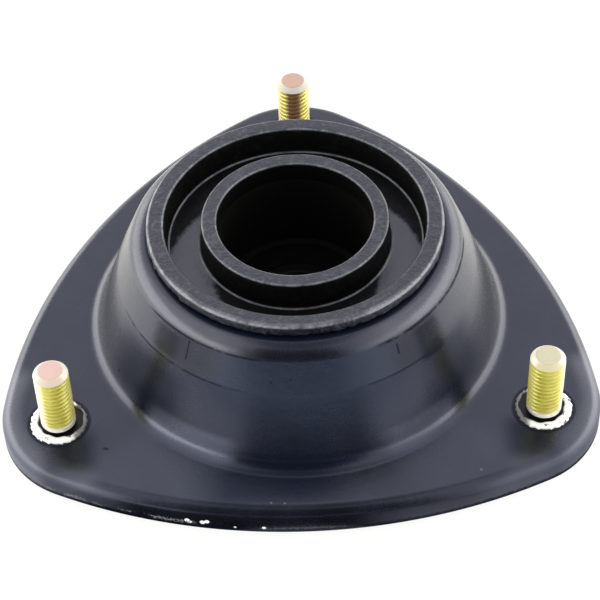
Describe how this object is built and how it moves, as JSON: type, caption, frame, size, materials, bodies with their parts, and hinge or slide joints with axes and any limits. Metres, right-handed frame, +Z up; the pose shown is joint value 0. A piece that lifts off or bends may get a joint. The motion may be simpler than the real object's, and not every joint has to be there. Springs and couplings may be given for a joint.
{
  "type": "strut mount",
  "caption": "Rounded-triangle strut top mount: a black steel flange with a conical bell, a rubber bush with a ring and channel, a sealed bearing inside and threaded studs at the corners.",
  "frame": {"origin": "centre of the stud circle, on the flange's top face", "axes": "+Z up along the strut's axis, the way the studs point; +Y towards one stud"},
  "size_m": [0.1382, 0.1361, 0.0388],
  "materials": {
    "black_coat": "satin black dip coat on pressed steel",
    "bush_rubber": "moulded black rubber, slightly rough",
    "cup_coat": "matt black coat on drawn steel",
    "yellow_zinc": "yellow passivated zinc on steel, bare at the staked ring",
    "bearing_steel": "dark phosphated ground steel",
    "seal_rubber": "smooth black rubber",
    "spring_steel": "black phosphated spring steel",
    "cage_steel": "bright pressed steel strip",
    "ball_steel": "polished steel"
  },
  "bodies": {
    "mount": {"housing": "black_coat", "rubber_bush": "bush_rubber", "bearing_cup": "cup_coat", "studs": "yellow_zinc", "outer_race": "bearing_steel", "upper_seal": "seal_rubber", "lower_seal": "seal_rubber", "retaining_ring": "spring_steel"},
    "inner_ring": {"inner_race": "bearing_steel"},
    "ball_set": {"cage_upper": "cage_steel", "cage_lower": "cage_steel", "cage_rivets": "cage_steel", "ball_1": "ball_steel", "ball_2": "ball_steel", "ball_3": "ball_steel", "ball_4": "ball_steel", "ball_5": "ball_steel", "ball_6": "ball_steel", "ball_7": "ball_steel", "ball_8": "ball_steel"}
  },
  "joints": [
    {"name": "inner_ring_spin", "type": "hinge", "parent": "mount", "child": "inner_ring", "pos_m": [0, 0, 0.0007], "axis": [0, 0, 1], "continuous": true},
    {"name": "ball_set_spin", "type": "hinge", "parent": "mount", "child": "ball_set", "pos_m": [0, 0, 0.0007], "axis": [0, 0, 1], "continuous": true}
  ],
  "couplings": [
    {"joint": "ball_set_spin", "follows": "inner_ring_spin", "ratio": 0.381}
  ]
}
